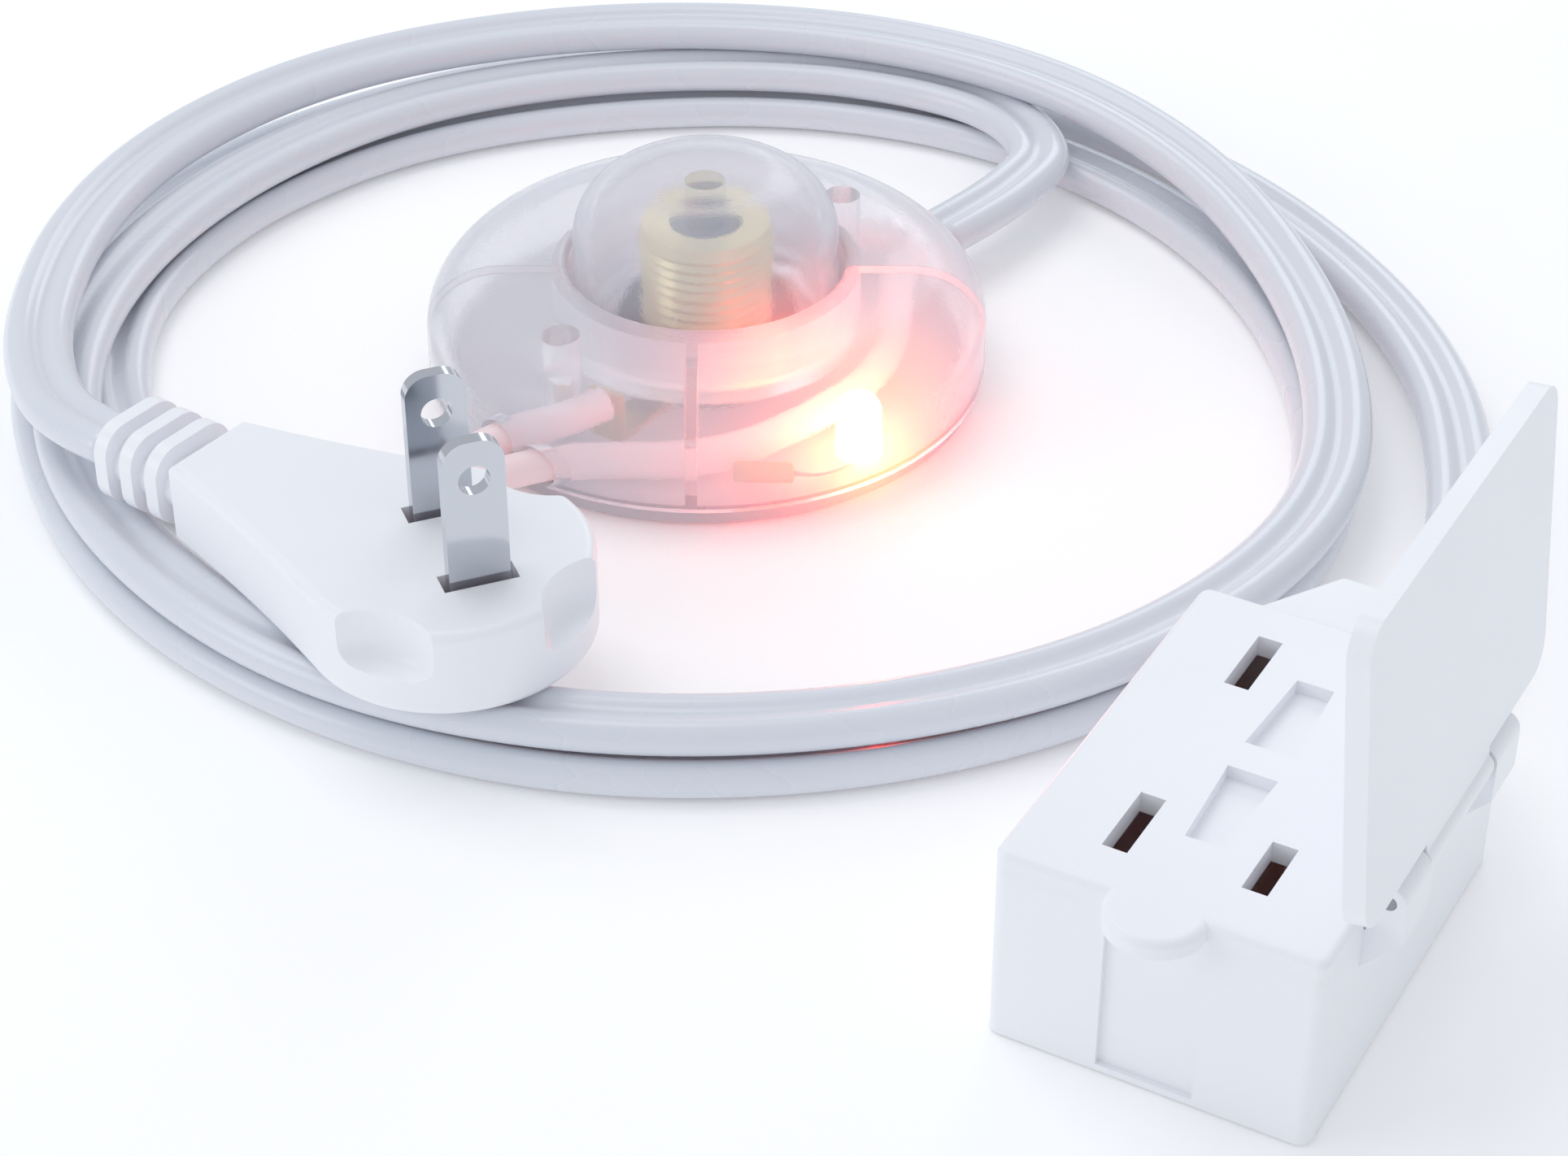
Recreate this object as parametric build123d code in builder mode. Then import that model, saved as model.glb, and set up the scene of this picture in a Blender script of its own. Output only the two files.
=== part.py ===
"""Extension cord: flat angled plug, flat twin cord in a loose coil, clear lighted foot
switch in the middle and a two-way outlet block with a flip-up lid.

Millimetres, +Z up. The origin is the centre of the foot switch's underside.
"""
from build123d import *
import os
from math import cos, pi, radians, sin, tan

os.makedirs("parts", exist_ok=True)

# ---- driving dimensions -----------------------------------------------------------
# general fits
gap = 0.3                # between pieces that must not touch
seat = 0.15              # between a piece and the pocket it drops into
pin_fit = 0.05           # radial running clearance of pins

# cord: two moulded lobes side by side, each round one conductor
cord_width = 7.6
cord_thickness = 3.8
bend_share = 0.45

# foot switch shell
base_radius = 30.9
base_thickness = 2.4
base_chamfer = 0.6
cover_radius = 31.8
cover_wall = 1.8
cover_straight = 8.0     # height where the outer wall starts to curve in
cover_top = 16.0
crown_radius = 23.0      # where the curve meets the flat crown
well_radius = 15.7
well_bottom = 9.0
well_lip = 1.0
seam_y = -2.5
seam_gap = 0.1
partition_x = -1.2
partition_thickness = 1.3
post_circle = 22.0
post_radius = 2.1
post_angles = (225, 45)
screw_radius = 1.0
screw_head_radius = 2.0
screw_head_height = 1.2
screw_recess = 0.2
screw_length = 7.6

# button and what it works
button_radius = 15.0
button_top = 26.4
button_round = 8.0
button_wall = 1.6
button_travel = 3.0
flange_radius = 17.0
flange_height = 1.8
neck_radius = 7.5
neck_bore = 4.0
neck_top = 20.4
thread_pitch = 1.2
thread_depth = 0.4
thread_turns = 8
thread_start = 0.45
case_radius = 10.2
case_wall = 1.2
case_top = 9.0
plunger_radius = 2.3
collar_radius = 3.7
collar_height = 1.2
collar_drop = 0.1
spring_radius = 3.2
spring_wire = 0.25
spring_turns = 6
pivot_radius = 1.0
pivot_boss_radius = 2.4
pivot_boss_height = 0.8
pivot_hole_floor = 1.2
rotor_radius = 6.0
rotor_thickness = 1.8
tooth_count = 8
tooth_height = 0.8
bridge_length = 11.0
bridge_width = 3.2
bridge_thickness = 0.5
strip_thickness = 0.8
strip_width = 4.0
strip_start = 4.2
tab_radius = 19.5
tab_top = 8.6
strip_angles = {"line_contact": 238, "load_contact": 62}

# lamp
lamp_centre = (16.8, -20.6)
lamp_radius = 2.4
lamp_bottom = 3.2
lamp_height = 7.2
lead_radius = 0.3
resistor_centre = (6.5, -26.8, 4.6)
resistor_radius = 1.1
resistor_length = 6.5

# outlet block
block_width = 30.8
block_length = 45.0
block_height = 20.8
block_corner_round = 1.2
block_edge_round = 0.8
block_yaw = -29.3
block_corner = (26.7, -109.8)
block_wall = 2.0
block_floor = 2.0
plate_thickness = 2.2
lip_depth = 1.2
lip_wall = 1.2
blade_pitch = 12.7       # standard spacing of two flat blades
slot_width = 2.4
slot_lengths = {"neutral": 8.2, "hot": 6.9}
outlet_pitch = 26.4
recess_depth = 1.4
recess_length = 10.8
recess_offset = 7.3      # of each recess from the middle of the block
recess_wide = 4.8
recess_narrow = 3.6
tongue_radius = 4.7
tongue_thickness = 1.8
panel_depth = 0.6
panel_width = 9.2
panel_margin = 1.4
exit_length = 13.4
exit_height = 16.8
exit_root_width = 29.2
exit_end_width = 12.2
exit_pad_height = 1.8
exit_pad_reach = 3.0
bus_width = 6.0
bus_length = 34.0
bus_thickness = 0.8
clip_gap = 1.6
clip_thickness = 0.6
clip_length = 6.4
clip_height = 12.0
block_boss_radius = 3.0
block_screw_radius = 1.4
block_screw_head = 2.6
block_screw_length = 9.0

# lid
lid_thickness = 2.0
lid_width = 44.0
lid_reach = 32.0         # from the hinge axis to the free edge
lid_root = 2.1           # from the hinge axis to the plate
lid_corner_round = 3.0
lid_open = 85            # degrees open as it stands
hinge_offset = 1.8       # axis outside the side wall
barrel_radius = 1.5
ear_radius = 1.65
ear_length = 6.0
ear_pitch = 22.0
ear_drop = 8.0
hinge_pin_radius = 0.7

# plug
head_centre = (-24.4, -60.2)
plug_bottom = 8.1
plug_height = 9.7
plug_axis = -36.0        # from its neck to its head
plug_round = 1.0
head_radius = 14.8
plug_neck_length = 32.4
plug_neck_half = 5.5
flank_angle = 111        # where the neck's sides meet the round head
scallop_radius = 7.5
scallop_bite = 3.0
scallop_drop = 5.6
scallop_round = 2.0
scallop_angles = (-75, 10, 95)
blade_turn = -33.0       # of the line through both blades, from the plug's axis
blade_shift = (0.5, 1.5)  # of the blades' middle from the head's, in the plug's frame
blade_width = 6.2
blade_thickness = 1.5
blade_reach = 16.0
blade_tip = 2.4
blade_hole_radius = 1.6
blade_hole_height = 11.7
blade_root = 6.4         # how far a blade goes down below the face
blade_window = 0.7       # black margin round each blade
carrier_length = 18.6
carrier_width = 9.0
carrier_height = 4.6
carrier_cover = 2.4      # moulding left above the carrier
relief_length = 12.1
relief_core_width = 9.0
relief_core_height = 5.4
rib_count = 3
rib_step = 3.6
rib_first = 3.0
rib_thickness = 1.7
rib_width = 11.0
rib_height = 9.2
rib_round = 3.2

# ---- frames -----------------------------------------------------------------------
def level_plane(place, height, angle):
    """Level plane at a height, its x direction turned from +X by an angle."""
    x_dir = (cos(radians(angle)), sin(radians(angle)), 0)
    return Plane(origin=(*place, height), x_dir=x_dir, z_dir=(0, 0, 1))


block_plane = level_plane(block_corner, 0, block_yaw)
across, along = block_plane.x_dir, block_plane.y_dir
plug_plane = level_plane(head_centre, plug_bottom, plug_axis)
blade_middle = plug_plane.from_local_coords(Vector(*blade_shift, plug_height))
blade_plane = level_plane((blade_middle.X, blade_middle.Y), blade_middle.Z, plug_axis + blade_turn)
core_radius = cord_thickness / 2
plate_bottom = block_height - plate_thickness
hinge_height = block_height + gap + lid_thickness / 2
hinge_across = block_width + hinge_offset


def block_point(a, v, z):
    """Point a across and v along the outlet block, at height z."""
    return block_plane.from_local_coords(Vector(a, v, z))


def block_section(v):
    """Upright plane across the outlet block, looking back along it from v."""
    return Plane(origin=block_point(0, v, 0), x_dir=across, z_dir=-along)


def polar(radius, angle, z=0.0):
    """Point on a circle about the foot switch's axis."""
    return Vector(radius * cos(radians(angle)), radius * sin(radians(angle)), z)


def corner_radii(points):
    """Radius at each corner: as large as the shorter of its two runs allows."""
    radii = []
    for before, here, after in zip(points, points[1:], points[2:]):
        run_in, run_out = Vector(*here) - Vector(*before), Vector(*after) - Vector(*here)
        half_turn = radians(run_in.get_angle(run_out) / 2)
        radii.append(bend_share * min(run_in.length, run_out.length) / tan(half_turn))
    return radii


def first_section(points, level_run):
    """Plane of a flat cord's first section, so that the cord lies level along one run.

    The section rides along without twisting, so the level direction of that run is
    carried back through each corner, turned as the corner turns.
    """
    runs = [(Vector(*end) - Vector(*start)).normalized() for start, end in zip(points, points[1:])]
    side = Vector(0, 0, 1).cross(runs[level_run])
    for later, earlier in zip(runs[level_run:0:-1], runs[level_run - 1::-1]):
        side = side.rotate(Axis((0, 0, 0), later.cross(earlier)), later.get_angle(earlier))
    return Plane(points[0], x_dir=side, z_dir=runs[0])


def report_route(name, points, length, area, solid):
    """Print a route's length, its bend radii and the volume against section x length."""
    print(name, "length", round(length, 1), "radii", [round(r, 1) for r in corner_radii(points)])
    print("  volume", round(solid.volume, 1), "section x length", round(area * length, 1))


def bar(start, end, radius):
    """Straight round bar through two points, a diameter longer than the stretch between them."""
    start, end = Vector(*start), Vector(*end)
    axis = Plane(origin=(start + end) / 2, z_dir=end - start)
    return axis.location * Cylinder(radius, (end - start).length + 2 * radius)


# ---- cord routes ------------------------------------------------------------------
# Centre heights: 1.9 lies on the floor, 5.9 on one turn, 10.0 on two.
plug_route = [
    (-60.5, -34.5, 12.95), (-66.6, -30.1, 12.6), (-72.0, -20.5, 11.5), (-75.4, -4.5, 10.5),
    (-74.5, 18.0, 10.0), (-66.5, 39.0, 10.0), (-50.0, 57.0, 10.0), (-27.0, 67.5, 10.0),
    (-2.0, 70.5, 10.0), (23.0, 66.0, 10.0), (44.5, 53.0, 10.0), (60.0, 34.5, 8.6),
    (68.5, 12.0, 6.6), (71.0, -11.0, 5.9), (67.5, -33.0, 5.9), (56.0, -51.0, 5.9),
    (38.0, -65.0, 5.9), (14.0, -73.0, 5.9), (-12.0, -73.5, 5.9), (-36.5, -65.5, 5.9),
    (-56.0, -48.5, 5.9), (-69.0, -26.5, 5.9), (-72.5, -3.0, 5.9), (-68.0, 20.0, 5.9),
    (-56.0, 41.0, 5.9), (-38.0, 57.0, 5.9), (-14.0, 65.0, 5.9), (10.0, 65.5, 5.9),
    (27.0, 60.5, 5.9), (37.5, 53.0, 5.9), (41.5, 42.0, 5.9), (37.2, 34.0, 5.8),
    (32.0, 27.5, 5.7), (26.6, 22.0, 5.6),
]
outlet_route = [
    (-27.05, -27.3, 4.6), (-34.0, -30.8, 4.5), (-42.5, -33.4, 3.2), (-52.0, -30.9, 1.9),
    (-61.0, -22.5, 1.9), (-67.0, -9.0, 1.9), (-68.5, 8.0, 1.9), (-65.0, 23.0, 1.9),
    (-56.0, 39.0, 1.9), (-38.5, 54.5, 1.9), (-14.0, 62.5, 1.9), (11.0, 63.5, 1.9),
    (34.0, 56.0, 1.9), (53.0, 40.0, 1.9), (65.0, 19.0, 1.9), (70.0, -6.0, 1.9),
    (67.5, -31.0, 1.9), (56.5, -51.0, 1.9), (38.0, -66.0, 1.9), (14.0, -74.5, 1.9),
    (-12.0, -75.0, 1.9), (-36.5, -66.0, 1.9), (-56.5, -49.5, 1.9), (-69.5, -28.0, 1.9),
    (-77.0, -2.0, 1.9), (-75.0, 26.0, 1.9), (-59.0, 51.0, 1.9), (-35.0, 68.0, 1.9),
    (-8.0, 75.0, 1.9), (20.0, 73.0, 1.9), (46.0, 61.0, 1.9), (66.0, 41.0, 1.9),
    (78.5, 16.5, 2.4), (83.5, -7.0, 3.4), (82.0, -30.0, 5.0), (78.4, -46.5, 6.6),
    (73.12, -58.6, 7.5), (68.72, -66.42, 7.5),
]
# The two cores part just outside the shell. One runs straight through, one is switched.
through_route = [
    (-26.2, -29.0, 4.6), (-21.5, -27.2, 4.5), (-16.2, -24.9, 4.5), (-10.0, -24.4, 4.5),
    (-2.5, -24.7, 4.6), (5.0, -22.5, 4.8), (12.2, -16.8, 5.2), (18.0, -10.6, 5.6),
    (21.0, -2.5, 5.8), (21.3, 5.5, 5.8), (22.0, 12.0, 5.7), (24.6, 17.2, 5.65), (27.96, 20.67, 5.6),
]
line_route = [
    (-27.9, -25.6, 4.6), (-24.6, -23.2, 5.0), (-20.6, -21.2, 6.0), (-15.6, -20.9, 7.0),
    (-10.92, -17.47, 7.2),
]
load_route = [
    (25.24, 23.33, 5.6), (21.9, 20.0, 5.7), (17.9, 20.6, 6.1), (13.3, 21.2, 6.5), (9.67, 18.19, 7.0),
]
lead_route = [
    (9.7, -26.8, 4.6), (12.2, -25.6, 3.6), (14.6, -23.4, 2.9), (16.8, -20.6, 2.9),
]
conductors = {
    "through_conductor": through_route, "line_conductor": line_route, "load_conductor": load_route,
}
# Where the cores pass the shell, as short straight stretches.
wall_crossings = [
    (through_route[1], through_route[2]), (line_route[1], line_route[2]),
    (through_route[-1], through_route[-2]), (load_route[0], load_route[1]),
]
wall_holes = [bar(start, end, core_radius + 2 * gap) for start, end in wall_crossings]

# ---- cord -------------------------------------------------------------------------
# Each flat section starts turned so that the cord lies level on the floor or on itself.
cord_area = cord_width * cord_thickness - (4 - pi) * core_radius**2

with BuildPart() as cord_plug_to_switch:
    with BuildLine() as plug_line:
        FilletPolyline(*plug_route, radius=corner_radii(plug_route))
    plug_path = plug_line.wires()[0]
    with BuildSketch(first_section(plug_route, 18)):
        SlotOverall(cord_width, cord_thickness)
    sweep(path=plug_path)
cord_plug_to_switch.part.label = "cord_plug_to_switch"
export_step(cord_plug_to_switch.part, "parts/cord_plug_to_switch.step")
report_route("cord_plug_to_switch", plug_route, plug_path.length, cord_area, cord_plug_to_switch.part)

with BuildPart() as cord_switch_to_outlet:
    with BuildLine() as outlet_line:
        FilletPolyline(*outlet_route, radius=corner_radii(outlet_route))
    outlet_path = outlet_line.wires()[0]
    with BuildSketch(first_section(outlet_route, 12)):
        SlotOverall(cord_width, cord_thickness)
    sweep(path=outlet_path)
cord_switch_to_outlet.part.label = "cord_switch_to_outlet"
export_step(cord_switch_to_outlet.part, "parts/cord_switch_to_outlet.step")
report_route("cord_switch_to_outlet", outlet_route, outlet_path.length, cord_area, cord_switch_to_outlet.part)

for name, route in conductors.items():
    with BuildPart() as conductor:
        with BuildLine() as core_line:
            FilletPolyline(*route, radius=corner_radii(route))
        core_path = core_line.wires()[0]
        with BuildSketch(Plane(core_path @ 0, z_dir=core_path % 0)):
            Circle(core_radius)
        sweep(path=core_path)
    conductor.part.label = name
    export_step(conductor.part, f"parts/{name}.step")
    report_route(name, route, core_path.length, pi * core_radius**2, conductor.part)

# ---- foot switch: base and screws -------------------------------------------------
post_places = [polar(post_circle, angle) for angle in post_angles]
head_top = screw_recess + screw_head_height

with BuildPart() as switch_base:
    with BuildSketch():
        Circle(base_radius)
    extrude(amount=base_thickness)
    chamfer(switch_base.edges().group_by(Axis.Z)[0], base_chamfer)
    with BuildSketch(Plane.XY.offset(base_thickness)):
        Circle(pivot_boss_radius)
    extrude(amount=pivot_boss_height)
    with BuildSketch(Plane.XY.offset(pivot_hole_floor)):
        Circle(pivot_radius + pin_fit)
    extrude(amount=base_thickness + pivot_boss_height, mode=Mode.SUBTRACT)
    with BuildSketch():
        with Locations(*post_places):
            Circle(screw_head_radius + seat)
    extrude(amount=head_top, mode=Mode.SUBTRACT)
    with BuildSketch():
        with Locations(*post_places):
            Circle(screw_radius + seat)
    extrude(amount=base_thickness, mode=Mode.SUBTRACT)
switch_base.part.label = "switch_base"
export_step(switch_base.part, "parts/switch_base.step")

with BuildPart() as cover_screws:
    with BuildSketch(Plane.XY.offset(screw_recess)):
        with Locations(*post_places):
            Circle(screw_head_radius)
    extrude(amount=screw_head_height)
    with BuildSketch(Plane.XY.offset(head_top)):
        with Locations(*post_places):
            Circle(screw_radius)
    extrude(amount=screw_length)
    with BuildSketch(Plane.XY.offset(screw_recess)):
        with Locations(*post_places):
            Rectangle(2.4, 0.6)
            Rectangle(0.6, 2.4)
    extrude(amount=screw_head_height / 2, mode=Mode.SUBTRACT)
cover_screws.part.label = "cover_screws"
export_step(cover_screws.part, "parts/cover_screws.step")

# ---- foot switch: clear cover, in two halves --------------------------------------
inner_radius = cover_radius - cover_wall
ceiling = cover_top - cover_wall
well_outer = well_radius + cover_wall

with BuildPart() as cover_shell:
    with BuildSketch(Plane.XZ):
        with BuildLine():
            Polyline(
                (inner_radius, base_thickness), (cover_radius, base_thickness),
                (cover_radius, cover_straight),
            )
            EllipticalCenterArc(
                (crown_radius, cover_straight), cover_radius - crown_radius,
                cover_top - cover_straight, 0, arc_size=90,
            )
            Line((crown_radius, cover_top), (well_radius + well_lip, cover_top))
            CenterArc((well_radius + well_lip, cover_top - well_lip), well_lip, 90, 90)
            Polyline(
                (well_radius, cover_top - well_lip), (well_radius, well_bottom), (well_outer, well_bottom),
                (well_outer, ceiling), (crown_radius, ceiling),
            )
            EllipticalCenterArc(
                (crown_radius, cover_straight), inner_radius - crown_radius,
                ceiling - cover_straight, 0, arc_size=90,
            )
            Line((inner_radius, cover_straight), (inner_radius, base_thickness))
        make_face()
    revolve(axis=Axis.Z)
    with BuildSketch(Plane.XY.offset(base_thickness)):
        with Locations(*post_places):
            Circle(post_radius)
    extrude(amount=ceiling - base_thickness + cover_wall / 4)
    with BuildSketch(Plane.XY.offset(base_thickness)):
        with Locations(*post_places):
            Circle(screw_radius + pin_fit)
    extrude(amount=screw_length + head_top - base_thickness + gap, mode=Mode.SUBTRACT)
    add(wall_holes, mode=Mode.SUBTRACT)

# A radial wall inside the front half, notched over the through core.
with BuildPart() as partition:
    with BuildSketch(Plane.YZ.offset(partition_x - partition_thickness / 2)):
        with BuildLine():
            Polyline(
                (-crown_radius, ceiling + cover_wall / 4),
                (-well_outer + cover_wall / 4, ceiling + cover_wall / 4),
                (-well_outer + cover_wall / 4, well_bottom + gap), (-well_outer, base_thickness),
                (-inner_radius - cover_wall / 4, base_thickness),
                (-inner_radius - cover_wall / 4, cover_straight),
            )
            EllipticalCenterArc(
                (-crown_radius, cover_straight), inner_radius + cover_wall / 4 - crown_radius,
                ceiling + cover_wall / 4 - cover_straight, 90, arc_size=90,
            )
        make_face()
    extrude(amount=partition_thickness)
    with BuildSketch(Plane.YZ.offset(partition_x - partition_thickness)):
        with Locations((through_route[4][1], through_route[4][2])):
            Circle(core_radius + 2 * gap)
        with Locations((through_route[4][1], base_thickness)):
            Rectangle(2 * (core_radius + 2 * gap), 2 * (through_route[4][2] - base_thickness))
    extrude(amount=2 * partition_thickness, mode=Mode.SUBTRACT)

with BuildPart() as switch_cover_front:
    add(cover_shell.part)
    add(partition.part)
    split(bisect_by=Plane((0, seam_y - seam_gap / 2, 0), z_dir=(0, -1, 0)), keep=Keep.TOP)
switch_cover_front.part.label = "switch_cover_front"
export_step(switch_cover_front.part, "parts/switch_cover_front.step")

with BuildPart() as switch_cover_rear:
    add(cover_shell.part)
    split(bisect_by=Plane((0, seam_y + seam_gap / 2, 0), z_dir=(0, 1, 0)), keep=Keep.TOP)
switch_cover_rear.part.label = "switch_cover_rear"
export_step(switch_cover_rear.part, "parts/switch_cover_rear.step")

# ---- foot switch: button, plunger, spring -----------------------------------------
flange_top = well_bottom - gap
flange_bottom = flange_top - flange_height
button_inner = button_radius - button_wall
round_centre = button_radius - button_round
round_height = button_top - button_round
button_ceiling = button_top - button_wall

with BuildPart() as switch_button:
    with BuildSketch(Plane.XZ):
        with BuildLine():
            Polyline(
                (button_inner, round_height), (button_inner, flange_bottom), (flange_radius, flange_bottom),
                (flange_radius, flange_top), (button_radius, flange_top), (button_radius, round_height),
            )
            CenterArc((round_centre, round_height), button_round, 0, 90)
            Polyline(
                (round_centre, button_top), (0, button_top), (0, button_ceiling),
                (round_centre, button_ceiling),
            )
            CenterArc((round_centre, round_height), button_round - button_wall, 0, 90)
        make_face()
    revolve(axis=Axis.Z)
switch_button.part.label = "switch_button"
export_step(switch_button.part, "parts/switch_button.step")

teeth_top = base_thickness + pivot_boss_height + gap + bridge_thickness + rotor_thickness + tooth_height
plunger_end = teeth_top + button_travel + gap
collar_bottom = neck_top - collar_drop - collar_height

with BuildPart() as button_plunger:
    with BuildSketch(Plane.XY.offset(plunger_end)):
        Circle(plunger_radius)
    extrude(amount=button_ceiling - plunger_end)
    with BuildSketch(Plane.XY.offset(collar_bottom)):
        Circle(collar_radius)
    extrude(amount=collar_height)
button_plunger.part.label = "button_plunger"
export_step(button_plunger.part, "parts/button_plunger.step")

with BuildPart() as threaded_neck:
    with BuildSketch(Plane.XZ):
        crests = [case_top + thread_start + turn * thread_pitch for turn in range(thread_turns + 1)]
        outline = [(neck_bore, case_top), (neck_radius, case_top)]
        for crest in crests[:-1]:
            outline += [(neck_radius, crest), (neck_radius - thread_depth, crest + thread_pitch / 2)]
        outline += [(neck_radius, crests[-1]), (neck_radius - thread_depth, neck_top), (neck_bore, neck_top)]
        with BuildLine():
            Polyline(*outline, close=True)
        make_face()
    revolve(axis=Axis.Z)
threaded_neck.part.label = "threaded_neck"
export_step(threaded_neck.part, "parts/threaded_neck.step")

spring_bottom = case_top + pin_fit + spring_wire
spring_length = collar_bottom - pin_fit - spring_wire - spring_bottom

with BuildPart() as return_spring:
    with BuildLine() as coil:
        Helix(spring_length / spring_turns, spring_length, spring_radius, center=(0, 0, spring_bottom))
    coil_path = coil.wires()[0]
    with BuildSketch(Plane(coil_path @ 0, z_dir=coil_path % 0)):
        Circle(spring_wire)
    sweep(path=coil_path, is_frenet=True)
return_spring.part.label = "return_spring"
export_step(return_spring.part, "parts/return_spring.step")

# ---- foot switch: works under the neck --------------------------------------------
strip_top = base_thickness + strip_thickness

with BuildPart() as mechanism_case:
    with BuildSketch(Plane.XY.offset(base_thickness)):
        Circle(case_radius)
    extrude(amount=case_top - base_thickness)
    with BuildSketch(Plane.XY.offset(base_thickness)):
        Circle(case_radius - case_wall)
    extrude(amount=case_top - case_wall - base_thickness, mode=Mode.SUBTRACT)
    with BuildSketch(Plane.XY.offset(base_thickness)):
        Circle(plunger_radius + gap)
    extrude(amount=case_top - base_thickness, mode=Mode.SUBTRACT)
    for angle in strip_angles.values():
        with BuildSketch(Plane.XY.rotated((0, 0, angle)).offset(base_thickness)):
            with Locations((case_radius - case_wall / 2, 0)):
                Rectangle(3 * case_wall, strip_width + 2 * gap)
        extrude(amount=strip_thickness + gap, mode=Mode.SUBTRACT)
mechanism_case.part.label = "mechanism_case"
export_step(mechanism_case.part, "parts/mechanism_case.step")

bridge_bottom = base_thickness + pivot_boss_height + gap
rotor_bottom = bridge_bottom + bridge_thickness

with BuildPart() as contact_rotor:
    with BuildSketch(Plane.XY.offset(rotor_bottom)):
        Circle(rotor_radius)
    extrude(amount=rotor_thickness)
    with BuildSketch(Plane.XY.offset(pivot_hole_floor + gap)):
        Circle(pivot_radius)
    extrude(amount=rotor_bottom - pivot_hole_floor - gap)
    with BuildSketch(Plane.XY.offset(rotor_bottom + rotor_thickness)):
        with PolarLocations(rotor_radius * 0.7, tooth_count):
            Rectangle(rotor_radius * 0.4, 1.0)
    extrude(amount=tooth_height)
contact_rotor.part.label = "contact_rotor"
export_step(contact_rotor.part, "parts/contact_rotor.step")

with BuildPart() as contact_bridge:
    with BuildSketch(Plane.XY.rotated((0, 0, strip_angles["load_contact"])).offset(bridge_bottom)):
        SlotOverall(bridge_length, bridge_width)
        Circle(pivot_radius, mode=Mode.SUBTRACT)
    extrude(amount=bridge_thickness)
contact_bridge.part.label = "contact_bridge"
export_step(contact_bridge.part, "parts/contact_bridge.step")

for name, angle in strip_angles.items():
    with BuildPart() as contact:
        with BuildSketch(Plane(origin=(0, 0, 0), x_dir=polar(1, angle), z_dir=polar(1, angle - 90))):
            with BuildLine():
                Polyline(
                    (strip_start, base_thickness), (tab_radius + strip_thickness, base_thickness),
                    (tab_radius + strip_thickness, tab_top), (tab_radius, tab_top), (tab_radius, strip_top),
                    (strip_start, strip_top), close=True,
                )
            make_face()
        extrude(amount=strip_width / 2, both=True)
    contact.part.label = name
    export_step(contact.part, f"parts/{name}.step")

# ---- foot switch: lamp ------------------------------------------------------------
with BuildPart() as neon_lamp:
    with BuildSketch(Plane.XY.offset(lamp_bottom)):
        with Locations(lamp_centre):
            Circle(lamp_radius)
    extrude(amount=lamp_height)
    fillet(neon_lamp.edges().group_by(Axis.Z)[-1], lamp_radius * 0.9)
neon_lamp.part.label = "neon_lamp"
export_step(neon_lamp.part, "parts/neon_lamp.step")

with BuildPart() as lamp_lead:
    with BuildLine() as lead_line:
        FilletPolyline(*lead_route, radius=corner_radii(lead_route))
    lead_path = lead_line.wires()[0]
    with BuildSketch(Plane(lead_path @ 0, z_dir=lead_path % 0)):
        Circle(lead_radius)
    sweep(path=lead_path)
lamp_lead.part.label = "lamp_lead"
export_step(lamp_lead.part, "parts/lamp_lead.step")

with BuildPart() as lamp_resistor:
    with BuildSketch(Plane.YZ.offset(resistor_centre[0] - resistor_length / 2)):
        with Locations(resistor_centre[1:]):
            Circle(resistor_radius)
    extrude(amount=resistor_length)
    fillet(lamp_resistor.edges(), resistor_radius * 0.4)
lamp_resistor.part.label = "lamp_resistor"
export_step(lamp_resistor.part, "parts/lamp_resistor.step")

# ---- outlet block -----------------------------------------------------------------
middle = (block_width / 2, block_length / 2)
exit_end = block_length + exit_length
ear_starts = [block_length / 2 + side * ear_pitch / 2 - ear_length / 2 for side in (-1, 1)]
panel_top = plate_bottom - panel_margin

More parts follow.
